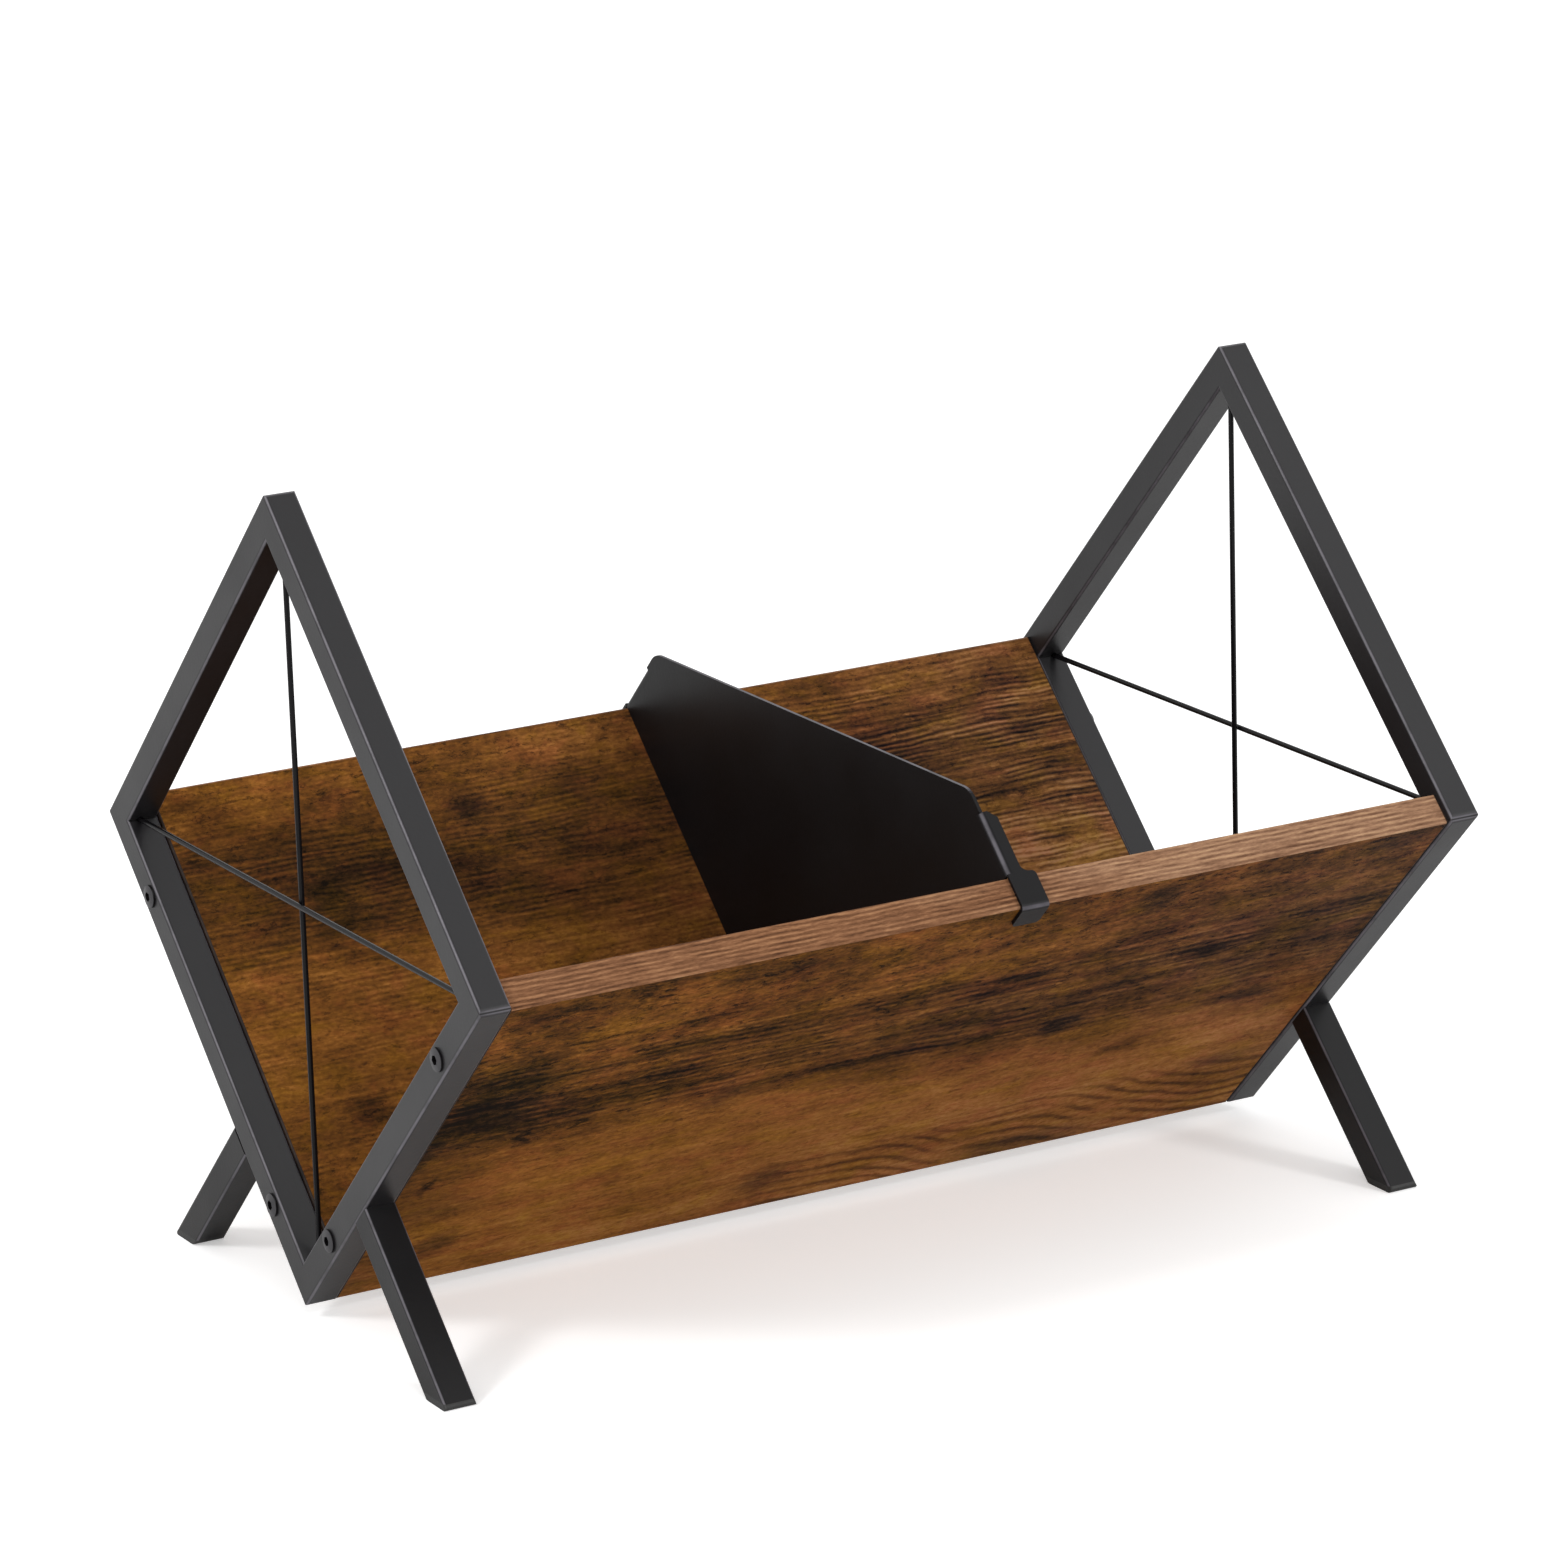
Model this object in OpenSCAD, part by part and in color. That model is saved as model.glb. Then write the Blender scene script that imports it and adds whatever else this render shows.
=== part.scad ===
// Record storage stand: two square tube frames standing on their corner, joined by a V of two boards.
// Origin: middle of the footprint, on the floor. +X runs along the boards, +Z is up, the front is -Y.
// A lower side of a frame has its own axes: s runs down along it from the front or rear corner,
// n runs inward, square to it. In the side's space X stays X, Y is s and Z is n.

/* [Stand] */
// Length over the outer faces of the two end frames
stand_length = 500; // [360:10:800]
// Side of the square end frame, corner to corner along one tube
frame_side = 260; // [230:5:300]
// Height of the frame's centre above the floor
centre_height = 189.5; // [170:0.5:230]

/* [Tube] */
// Width of the square steel tube
tube = 15; // [14:1:18]
// Wall thickness of the tube
tube_wall = 1.2; // [0.8:0.1:2]
// Radius of the tube's long edges
tube_edge_r = 1.5; // [1:0.1:2]
// Radius ground onto the welded corners of the frame
corner_r = 3; // [1:0.5:5]
// Distance along a lower side from the outer corner to the leg
leg_place = 167.5; // [140:0.5:190]

/* [Rods] */
// Radius of the crossed rods in each frame
rod_r = 1.25; // [1:0.25:2]
// Depth of the horizontal rod behind the frame's outer face
horizontal_rod_depth = 6; // [5:0.5:7]

/* [Boards] */
// Thickness of the boards
board_thick = 15; // [12:1:18]
// How far the boards' outer faces lie inside the tubes' outer faces
board_inset = 1; // [0:0.5:2]
// How far the boards' top edges lie below the frame's outer faces
board_top_drop = 3; // [2:0.5:5]
// Thickness of the edge banding, which covers the long edges first and then the ends
band = 1; // [0.5:0.1:2]
// Radius of the eased edges
ease_r = 0.8; // [0.4:0.1:0.9]

/* [Screws] */
// Distance of the upper screws from the frame's front and rear corners
upper_screw_place = 51; // [35:1:80]
// Distance of the lower screws from the frame's bottom corner
lower_screw_place = 48; // [35:1:70]
// Distance of the screws from the lower side's outer face
screw_line = 8; // [7:0.5:9]
// Radius of the screw's shank
screw_r = 3; // [2.5:0.25:3]
// Length of the shank under the head
screw_length = 35; // [28:1:40]
// Radius of the button head
head_r = 5.25; // [4.5:0.25:5.5]
// Height of the low button head
head_h = 1.6; // [1.2:0.1:2.4]
// Height of the head's upright rim
rim_h = 0.9; // [0.4:0.1:1.1]
// Width across flats of the hex socket
socket_flats = 4; // [3:0.5:4]
// Depth of the hex socket
socket_depth = 2; // [1:0.5:3]
// Outer radius of the threaded insert in the board's end
insert_r = 4.5; // [4:0.25:5]
// Length of the threaded insert
insert_length = 14; // [10:1:16]

/* [Feet] */
// Thickness of the plug's sole under the tube
sole = 3; // [3:0.5:5]
// Height of the plug's spigot inside the tube
spigot = 12; // [6:1:20]
// Wall thickness of the hollow spigot
spigot_wall = 1.8; // [1.2:0.1:3]
// Radius of the sole's blunt corner, at the leg's underside
heel_r = 8; // [1:0.5:8]
// Radius of the sole's sharp corner, at the leg's outer side
toe_r = 1.5; // [0.5:0.1:1.6]

/* [Divider] */
// Place of the divider's plate along the stand, from its middle
divider_x = 11.5; // [-100:0.5:100]
// Thickness of the sheet steel
sheet = 1.5; // [1:0.1:2]
// Width of the flange along the plate's sloping edges
flange = 7.5; // [5:0.5:12]
// Width of the hook that sits on the board's edge
hook_w = 13.6; // [13:0.2:20]
// Length of the hook's lip down the board's outer face
lip = 15; // [8:1:25]
// Height of the plate's top edge above the frame's centre
plate_rise = 42; // [20:1:90]
// Gap between the divider and the boards
gap = 0.3; // [0.3:0.1:1]
// Outer radius of the bends
bend_r = 2.6; // [2.1:0.1:2.8]
// Radius of the corners of the hook's tab and lip
corner_round = 2.2; // [1:0.1:3]
// Radius of the hollow between the hook's tab and the flange
hollow_r = 3.5; // [2:0.5:5]

/* [Hidden] */
$fn = 48;
big = 2 * frame_side;
half_diagonal = frame_side / sqrt(2);
half_length = stand_length / 2;
inner_x = half_length - tube;
board_length = 2 * inner_x;
board_inner = board_inset + board_thick;
front_board_width = frame_side - board_top_drop;
rear_board_width = frame_side - board_inner - board_top_drop;
vertical_rod_depth = horizontal_rod_depth + 2 * rod_r;
bore_edge_r = tube_edge_r / 2;
spigot_bore_edge_r = tube_edge_r / 3;
hole_play = 0.3;
thread_play = 0.05;
room_at_tip = 5;
hole_r = screw_r + hole_play;
insert_bore_r = screw_r + thread_play;
pilot_depth = screw_length - tube + room_at_tip;
screw_places = [upper_screw_place, frame_side - lower_screw_place];
dome_rise = head_h - rim_h;
dome_r = (head_r * head_r + dome_rise * dome_rise) / (2 * dome_rise);
toe_y = half_diagonal + centre_height - sqrt(2) * leg_place;
heel_y = toe_y - sqrt(2) * tube;
leg_reach = sqrt(2) * centre_height;
hook_top = board_top_drop - gap - sheet;
hook_face = board_inset - gap - sheet;
plate_edge = board_inner + 1;
plate_far = frame_side - plate_edge;
plate_foot = 10;
shoulder_r = 12;
crown = sqrt(2) * plate_rise;
flange_end = crown + hook_top - shoulder_r;
steel_black = [0.13, 0.13, 0.135];
rustic_brown = [0.36, 0.21, 0.11];
band_tan = [0.62, 0.45, 0.33];
end_brown = [0.16, 0.1, 0.07];

// ---- places ----

// Puts a shape drawn in the front lower side's space (X, s, n) where that side is.
module on_front_side() {
    translate([0, -half_diagonal, centre_height])
        rotate([-45, 0, 0])
            children();
}

// The same for the rear lower side, which mirrors the front one.
module on_rear_side() {
    mirror([0, 1, 0])
        on_front_side()
            children();
}

// The same shape in both lower sides' spaces.
module on_both_sides() {
    on_front_side() children();
    on_rear_side() children();
}

// Puts a shape made for the left frame on the right one.
module on_right() {
    mirror([1, 0, 0])
        children();
}

// Points of a round corner: centre, radius and the angles between which it turns.
function arc(centre, r, from, to, steps = 6) =
    [for (i = [0:steps]) centre + r * [cos(from + (to - from) * i / steps), sin(from + (to - from) * i / steps)]];

// A rectangle from the origin with round corners, as true arcs.
module round_rect(width, height, r) {
    union() {
        translate([r, 0])
            square([width - 2 * r, height]);
        translate([0, r])
            square([width, height - 2 * r]);
        for (x = [r, width - r], y = [r, height - r])
            translate([x, y])
                circle(r = r);
    }
}

// Extrudes a shape drawn in (s, n) along X, from x0 to x1.
module along_x(x0, x1) {
    translate([x0, 0, 0])
        rotate([90, 0, 90])
            linear_extrude(x1 - x0)
                children();
}

// ---- end frames ----

// The tube's outline drawn in by some distance all round.
module tube_outline(inward, edge_r) {
    translate([inward, inward])
        round_rect(tube - 2 * inward, tube - 2 * inward, edge_r);
}

// Section of the hollow tube.
module tube_section() {
    difference() {
        tube_outline(0, tube_edge_r);
        tube_outline(tube_wall, bore_edge_r);
    }
}

// Outline of one mitred frame tube in (s, n).
module mitre_outline() {
    polygon([[0, 0], [frame_side, 0], [frame_side - tube, tube], [tube, tube]]);
}

// One side of the left frame, in its own side's space.
module mitred_tube() {
    intersection() {
        translate([-half_length, frame_side, 0])
            rotate([90, 0, 0])
                linear_extrude(frame_side)
                    tube_section();
        along_x(-half_length - 1, -inner_x + 1)
            mitre_outline();
        along_x(-half_length - 1, -inner_x + 1)
            round_rect(frame_side, frame_side, corner_r);
    }
}

// A side of the left frame, turned about the frame's centre from the horizontal.
module frame_tube(turn) {
    color(steel_black)
        translate([0, 0, centre_height])
            rotate([turn, 0, 0])
                translate([0, -frame_side / 2, -frame_side / 2])
                    difference() {
                        mitred_tube();
                        children();
                    }
}

// The two clearance holes through a lower tube.
module tube_holes() {
    for (s = screw_places)
        translate([-half_length - 1, s, screw_line])
            rotate([0, 90, 0])
                cylinder(r = hole_r, h = tube + 2);
}

module left_upper_front_tube() frame_tube(-135);
module left_upper_rear_tube() mirror([0, 1, 0]) left_upper_front_tube();
module left_lower_front_tube() frame_tube(-45) tube_holes();
module left_lower_rear_tube() mirror([0, 1, 0]) left_lower_front_tube();

// A bar that slants from the lower side to the floor with the leg's section, cut level at two heights.
module slanting_bar(low, high) {
    intersection() {
        on_front_side()
            translate([-half_length, leg_place, -leg_reach])
                linear_extrude(leg_reach)
                    children();
        translate([-half_length - 1, -half_diagonal, low])
            cube([tube + 2, half_diagonal, high - low]);
    }
}

// A leg of the left frame, welded square to the lower side and cut level above its plug.
module leg() {
    color(steel_black)
        slanting_bar(sole, centre_height)
            tube_section();
}

// What rounding takes off a corner at the origin whose sides leave it at two angles.
module corner_cut(from, to, r) {
    middle = (from + to) / 2;
    reach = r / tan(middle - from);
    side_1 = [cos(from), sin(from)];
    side_2 = [cos(to), sin(to)];
    inward_1 = [-side_1.y, side_1.x];
    inward_2 = [side_2.y, -side_2.x];
    centre = reach * side_1 + r * inward_1;
    difference() {
        polygon([
            -2 * [cos(middle), sin(middle)],
            reach * side_1 - inward_1,
            centre,
            reach * side_2 - inward_2
        ]);
        translate(centre)
            circle(r = r);
    }
}

// What rounding takes off the sole of the left front foot, at the heel and at the toe.
module sole_cuts() {
    along_x(-half_length - 1, -inner_x + 1) {
        translate([-heel_y, 0])
            corner_cut(45, 180, heel_r);
        translate([-toe_y, 0])
            corner_cut(0, 45, toe_r);
    }
}

// The plug in the leg's open end: a level sole and a hollow spigot.
module foot_plug() {
    color("black")
        union() {
            difference() {
                slanting_bar(0, sole)
                    tube_outline(0, tube_edge_r);
                sole_cuts();
            }
            difference() {
                slanting_bar(sole / 2, sole + spigot)
                    tube_outline(tube_wall, bore_edge_r);
                slanting_bar(2 * sole, sole + spigot + 1)
                    tube_outline(tube_wall + spigot_wall, spigot_bore_edge_r);
            }
        }
}

module left_front_leg() leg();
module left_rear_leg() mirror([0, 1, 0]) leg();
module left_front_foot_plug() foot_plug();
module left_rear_foot_plug() mirror([0, 1, 0]) foot_plug();

// A rod through the frame's centre, its ends cut to the corner that it is welded into.
module rod(depth, turn) {
    color(steel_black)
        intersection() {
            translate([-half_length + depth, 0, centre_height])
                rotate([turn, 0, 0])
                    cylinder(r = rod_r, h = 2 * half_diagonal, center = true);
            on_front_side()
                translate([-half_length, tube, tube])
                    cube([tube, frame_side - 2 * tube, frame_side - 2 * tube]);
        }
}

module left_vertical_rod() rod(vertical_rod_depth, 0);
module left_horizontal_rod() rod(horizontal_rod_depth, 90);

// ---- boards ----

// A board with all its banding, in its side's space, every edge eased.
module whole_board(width) {
    intersection() {
        translate([0, board_top_drop, board_inset])
            along_x(-inner_x, inner_x)
                round_rect(width, board_thick, ease_r);
        translate([-inner_x, board_top_drop + width, board_inset])
            rotate([90, 0, 0])
                linear_extrude(width)
                    round_rect(board_length, board_thick, ease_r);
    }
}

// The space of the whole board between two distances along X and two along s.
module board_part(width, x0, x1, s0, s1) {
    intersection() {
        whole_board(width);
        translate([x0, board_top_drop + s0, 0])
            cube([x1 - x0, s1 - s0, frame_side]);
    }
}

// Stepped holes in both ends of a board: a seat for the insert and a pilot beyond it.
module end_holes() {
    for (side = [-1, 1], s = screw_places)
        translate([side * inner_x, s, screw_line])
            rotate([0, -90 * side, 0])
                union() {
                    translate([0, 0, -1])
                        cylinder(r = insert_r, h = insert_length + 1);
                    cylinder(r = hole_r, h = pilot_depth);
                }
}

module board_core(width) {
    color(rustic_brown)
        difference() {
            board_part(width, -inner_x + band, inner_x - band, band, width - band);
            end_holes();
        }
}

module long_band(width, s0) {
    color(band_tan)
        board_part(width, -inner_x + band, inner_x - band, s0, s0 + band);
}

module end_band(width, x0) {
    color(end_brown)
        difference() {
            board_part(width, x0, x0 + band, 0, width);
            end_holes();
        }
}

module front_board() on_front_side() board_core(front_board_width);
module front_board_top_band() on_front_side() long_band(front_board_width, 0);
module front_board_bottom_band() on_front_side() long_band(front_board_width, front_board_width - band);
module front_board_left_end_band() on_front_side() end_band(front_board_width, -inner_x);
module front_board_right_end_band() on_front_side() end_band(front_board_width, inner_x - band);
module rear_board() on_rear_side() board_core(rear_board_width);
module rear_board_top_band() on_rear_side() long_band(rear_board_width, 0);
module rear_board_bottom_band() on_rear_side() long_band(rear_board_width, rear_board_width - band);
module rear_board_left_end_band() on_rear_side() end_band(rear_board_width, -inner_x);
module rear_board_right_end_band() on_rear_side() end_band(rear_board_width, inner_x - band);

// ---- fasteners ----

// A low button-head screw with a hex socket, its head's underside at z = 0 and its shank along +Z.
module screw() {
    difference() {
        union() {
            cylinder(r = screw_r, h = screw_length);
            mirror([0, 0, 1])
                intersection() {
                    cylinder(r = head_r, h = head_h);
                    translate([0, 0, head_h - dome_r])
                        sphere(r = dome_r);
                }
        }
        translate([0, 0, -head_h - 1])
            cylinder(r = socket_flats / sqrt(3), h = socket_depth + 1, $fn = 6);
    }
}

module side_screws() {
    for (s = screw_places)
        translate([-half_length, s, screw_line])
            rotate([0, 90, 0])
                screw();
}

module left_frame_screws() {
    color([0.08, 0.08, 0.085])
        on_both_sides() side_screws();
}

// A threaded insert, as a sleeve along +Z.
module insert() {
    difference() {
        cylinder(r = insert_r, h = insert_length);
        translate([0, 0, -1])
            cylinder(r = insert_bore_r, h = insert_length + 2);
    }
}

module board_inserts() {
    color("goldenrod")
        for (side = [-1, 1], s = screw_places)
            translate([side * inner_x, s, screw_line])
                rotate([0, -90 * side, 0])
                    insert();
}

module front_board_inserts() on_front_side() board_inserts();
module rear_board_inserts() on_rear_side() board_inserts();

// ---- divider ----

// The plate's outline in (s, n): it fills the V and rises between the two hooks to a level top.
module plate_outline() {
    slope_end = frame_side - hook_top;
    turn = shoulder_r * tan(22.5);
    polygon(concat(
        [[hook_top, plate_edge], [plate_far - plate_foot, plate_edge], [plate_far, plate_edge + plate_foot]],
        [[plate_far, slope_end]],
        arc([slope_end - crown + turn, slope_end - shoulder_r], shoulder_r, 90, 135),
        arc([hook_top + shoulder_r, hook_top + crown - turn], shoulder_r, 135, 180)
    ));
}

// The part of the bent sheet that lies in the plane of the board's top edge, in (X, n):
// the hook's tab, and the flange that goes on along the plate, with a hollow between them.
module top_sheet_outline() {
    polygon(concat(
        [[0, hook_face], [hook_w, hook_face]],
        arc([hook_w - corner_round, plate_edge - corner_round], corner_round, 0, 90),
        arc([flange + hollow_r, plate_edge + hollow_r], hollow_r, 270, 180),
        [[flange, flange_end - flange / 2], [flange / 2, flange_end], [0, flange_end]]
    ));
}

// Section of the hook in (s, n): tab, bend and lip.
module hook_section() {
    far = big / 2;
    intersection() {
        difference() {
            translate([hook_top, hook_face])
                round_rect(far, far, bend_r);
            translate([hook_top + sheet, hook_face + sheet])
                round_rect(far, far, bend_r - sheet);
        }
        translate([hook_top, hook_face])
            square([lip, far]);
    }
}

// Outline of the hook's lip in (X, s), its two free corners round.
module lip_outline() {
    union() {
        translate([0, hook_top])
            square([hook_w, lip / 2]);
        translate([0, hook_top])
            round_rect(hook_w, lip, corner_round);
    }
}

// One hook with its flange, in its side's space, X from the plate's left face.
module hook() {
    intersection() {
        along_x(0, hook_w)
            hook_section();
        translate([0, frame_side, 0])
            rotate([90, 0, 0])
                linear_extrude(big)
                    top_sheet_outline();
        linear_extrude(big, center = true)
            lip_outline();
    }
}

// A shape drawn in (X, s) from the bend's outer corner, drawn out along the flange.
module along_flange() {
    translate([0, hook_top, plate_edge])
        linear_extrude(flange_end - plate_edge)
            children();
}

// What a round corner at the origin leaves of a square one, on either side of it.
module corner_rest(r, beyond) {
    difference() {
        translate([-beyond, -beyond])
            square(r + beyond);
        translate([r, r])
            circle(r = r);
    }
}

// The filling on the inner side of the bend between plate and flange.
module bend_filling() {
    along_flange()
        translate([sheet, sheet])
            corner_rest(bend_r - sheet, sheet / 2);
}

// What the bend takes off the square edge between plate and flange.
module bend_edge() {
    along_flange()
        corner_rest(bend_r, 1);
}

module divider() {
    color(steel_black)
        translate([divider_x, 0, 0])
            difference() {
                union() {
                    on_front_side()
                        along_x(0, sheet)
                            plate_outline();
                    on_both_sides() hook();
                    on_both_sides() bend_filling();
                }
                on_both_sides() bend_edge();
            }
}

// ---- all pieces ----

left_upper_front_tube();
left_upper_rear_tube();
left_lower_front_tube();
left_lower_rear_tube();
left_front_leg();
left_rear_leg();
left_vertical_rod();
left_horizontal_rod();
left_front_foot_plug();
left_rear_foot_plug();
on_right() left_upper_front_tube();  // right_upper_front_tube
on_right() left_upper_rear_tube();  // right_upper_rear_tube
on_right() left_lower_front_tube();  // right_lower_front_tube
on_right() left_lower_rear_tube();  // right_lower_rear_tube
on_right() left_front_leg();  // right_front_leg
on_right() left_rear_leg();  // right_rear_leg
on_right() left_vertical_rod();  // right_vertical_rod
on_right() left_horizontal_rod();  // right_horizontal_rod
on_right() left_front_foot_plug();  // right_front_foot_plug
on_right() left_rear_foot_plug();  // right_rear_foot_plug
front_board();
front_board_top_band();
front_board_bottom_band();
front_board_left_end_band();
front_board_right_end_band();
rear_board();
rear_board_top_band();
rear_board_bottom_band();
rear_board_left_end_band();
rear_board_right_end_band();
left_frame_screws();
on_right() left_frame_screws();  // right_frame_screws
front_board_inserts();
rear_board_inserts();
divider();
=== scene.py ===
"""Looks of the record storage stand: materials, floor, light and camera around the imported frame."""

import math

import bpy
from mathutils import Matrix, Vector

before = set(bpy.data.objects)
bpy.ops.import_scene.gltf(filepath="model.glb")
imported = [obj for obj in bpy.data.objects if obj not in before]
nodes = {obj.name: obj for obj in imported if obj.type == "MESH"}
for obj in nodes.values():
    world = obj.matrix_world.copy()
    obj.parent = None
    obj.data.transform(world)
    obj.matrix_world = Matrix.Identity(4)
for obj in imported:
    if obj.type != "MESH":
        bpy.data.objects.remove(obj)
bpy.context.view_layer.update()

# The end frames are squares that stand on a corner. Sizes are in metres.
FRAME_SIDE = 0.26
HALF_DIAGONAL = FRAME_SIDE / math.sqrt(2)
CENTRE_Z = 0.1895
MM_PER_M = 1000

# Nearly all values of a noise texture lie between these two.
NOISE_LOW, NOISE_HIGH = 0.3, 0.7


# ---- node graph helper ----


class Graph:
    """Builds one material's nodes. Most methods return an output socket."""

    def __init__(self, name):
        self.material = bpy.data.materials.new(name)
        self.material.use_nodes = True
        self.tree = self.material.node_tree
        self.tree.nodes.clear()

    def add(self, kind, **settings):
        node = self.tree.nodes.new(kind)
        for key, value in settings.items():
            setattr(node, key, value)
        return node

    def feed(self, socket, value):
        """Sets a socket from a number, a tuple or another socket."""
        if isinstance(value, bpy.types.NodeSocket):
            self.tree.links.new(value, socket)
        elif value is not None:
            socket.default_value = value

    def place(self):
        """Place on the stand, in metres."""
        return self.add("ShaderNodeTexCoord").outputs["Object"]

    def mapped(self, vector, location=(0, 0, 0), rotation=(0, 0, 0), scale=(1, 1, 1)):
        node = self.add("ShaderNodeMapping")
        self.feed(node.inputs["Vector"], vector)
        node.inputs["Location"].default_value = location
        node.inputs["Rotation"].default_value = rotation
        node.inputs["Scale"].default_value = scale
        return node.outputs[0]

    def split(self, vector):
        node = self.add("ShaderNodeSeparateXYZ")
        self.feed(node.inputs[0], vector)
        return node.outputs

    def noise(self, vector, scale, detail, roughness, colour=False):
        node = self.add("ShaderNodeTexNoise")
        self.feed(node.inputs["Vector"], vector)
        node.inputs["Scale"].default_value = scale
        node.inputs["Detail"].default_value = detail
        node.inputs["Roughness"].default_value = roughness
        return node.outputs["Color" if colour else "Fac"]

    def grain(self, vector, scale, detail, roughness, shift=(0, 0, 0), colour=False):
        """Noise with its own scale along each axis."""
        return self.noise(self.mapped(vector, location=shift, scale=scale), 1.0, detail, roughness, colour)

    def math(self, operation, a, b=None, clamp=False):
        node = self.add("ShaderNodeMath", operation=operation, use_clamp=clamp)
        for socket, value in zip(node.inputs, (a, b)):
            self.feed(socket, value)
        return node.outputs[0]

    def total(self, first, *others):
        for value in others:
            first = self.math("ADD", first, value)
        return first

    def product(self, first, *others):
        for value in others:
            first = self.math("MULTIPLY", first, value)
        return first

    def vector(self, operation, a, b=None):
        node = self.add("ShaderNodeVectorMath", operation=operation)
        self.feed(node.inputs[0], a)
        self.feed(node.inputs[1], b)
        return node.outputs["Value" if operation == "LENGTH" else "Vector"]

    def pushed(self, place, colour_noise, reach):
        """A place moved by a colour noise, up to half the reach each way."""
        swing = self.vector("SUBTRACT", colour_noise, (0.5, 0.5, 0.5))
        return self.vector("ADD", place, self.vector("MULTIPLY", swing, reach))

    def steps(self, value, low, high, out_low=0.0, out_high=1.0, smooth=True):
        """Maps a value from one range to another, clamped."""
        kind = "SMOOTHSTEP" if smooth else "LINEAR"
        node = self.add("ShaderNodeMapRange", clamp=True, interpolation_type=kind)
        for socket, number in zip(node.inputs[:5], (value, low, high, out_low, out_high)):
            self.feed(socket, number)
        return node.outputs[0]

    def between(self, noise, low, high):
        """Maps a noise to a range of numbers."""
        return self.steps(noise, NOISE_LOW, NOISE_HIGH, low, high)

    def about_zero(self, noise, reach):
        """Maps a noise to as much below 0 as above it."""
        return self.steps(noise, NOISE_LOW, NOISE_HIGH, -reach, reach, smooth=False)

    def ramp(self, value, stops):
        node = self.add("ShaderNodeValToRGB")
        elements = node.color_ramp.elements
        while len(elements) < len(stops):
            elements.new(0.5)
        for element, (place, colour) in zip(elements, stops):
            element.position = place
            element.color = (*colour, 1)
        self.feed(node.inputs[0], value)
        return node.outputs[0]

    def two_tone(self, noise, low, high):
        """Colours a noise from one colour to another."""
        return self.ramp(noise, [(NOISE_LOW, low), (NOISE_HIGH, high)])

    def mix(self, factor, a, b, blend="MIX"):
        node = self.add("ShaderNodeMix", data_type="RGBA", blend_type=blend, clamp_factor=True)
        self.feed(node.inputs["Factor"], factor)
        for socket, colour in ((node.inputs[6], a), (node.inputs[7], b)):
            self.feed(socket, colour if isinstance(colour, bpy.types.NodeSocket) else (*colour, 1))
        return node.outputs[2]

    def tinted(self, factor, colour, tint):
        """A colour multiplied by a tint where the factor is 1."""
        return self.mix(factor, colour, self.mix(1.0, colour, tint, "MULTIPLY"))

    def bump(self, height, strength, distance, normal=None):
        node = self.add("ShaderNodeBump")
        node.inputs["Strength"].default_value = strength
        node.inputs["Distance"].default_value = distance
        self.feed(node.inputs["Height"], height)
        self.feed(node.inputs["Normal"], normal)
        return node.outputs[0]

    def surface(self, colour, roughness, normal, **constants):
        shader = self.add("ShaderNodeBsdfPrincipled")
        self.feed(shader.inputs["Base Color"], colour)
        self.feed(shader.inputs["Roughness"], roughness)
        self.feed(shader.inputs["Normal"], normal)
        for name, value in constants.items():
            shader.inputs[name.replace("_", " ")].default_value = value
        output = self.add("ShaderNodeOutputMaterial")
        self.tree.links.new(shader.outputs[0], output.inputs[0])
        return self.material


def srgb(red, green, blue):
    """A colour written in 0 to 255 display values, as linear light."""
    return tuple(
        c / 3294.6 if c <= 10.31 else ((c / 255 + 0.055) / 1.055) ** 2.4 for c in (red, green, blue)
    )


# ---- steel, screws and plastic ----


def edge_mask(g):
    """1 on a tube's rounded edges and 0 on its four sides and ends, and how far a face looks along X."""
    facing = g.add("ShaderNodeTexCoord").outputs["Normal"]
    turned = g.vector("ABSOLUTE", g.mapped(facing, rotation=(math.radians(45), 0, 0)))
    across, slope, fall = g.split(turned)
    most = g.math("MAXIMUM", across, g.math("MAXIMUM", slope, fall))
    flat, rounded = 0.985, 0.82
    return g.steps(most, flat, rounded), across


def mitre_mask(g, place, across):
    """1 on the fine seams at the frame's four corners, but not on its ground outer and inner faces."""
    _, depth, height = g.split(place)
    from_middle = g.math("ABSOLUTE", g.math("SUBTRACT", height, CENTRE_Z))
    away = g.math("MINIMUM", from_middle, g.math("ABSOLUTE", depth))
    rim, core = 0.00055, 0.0002
    sideways, up_or_down = 0.7, 0.4
    return g.product(g.steps(away, rim, core), g.steps(across, sideways, up_or_down))


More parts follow.
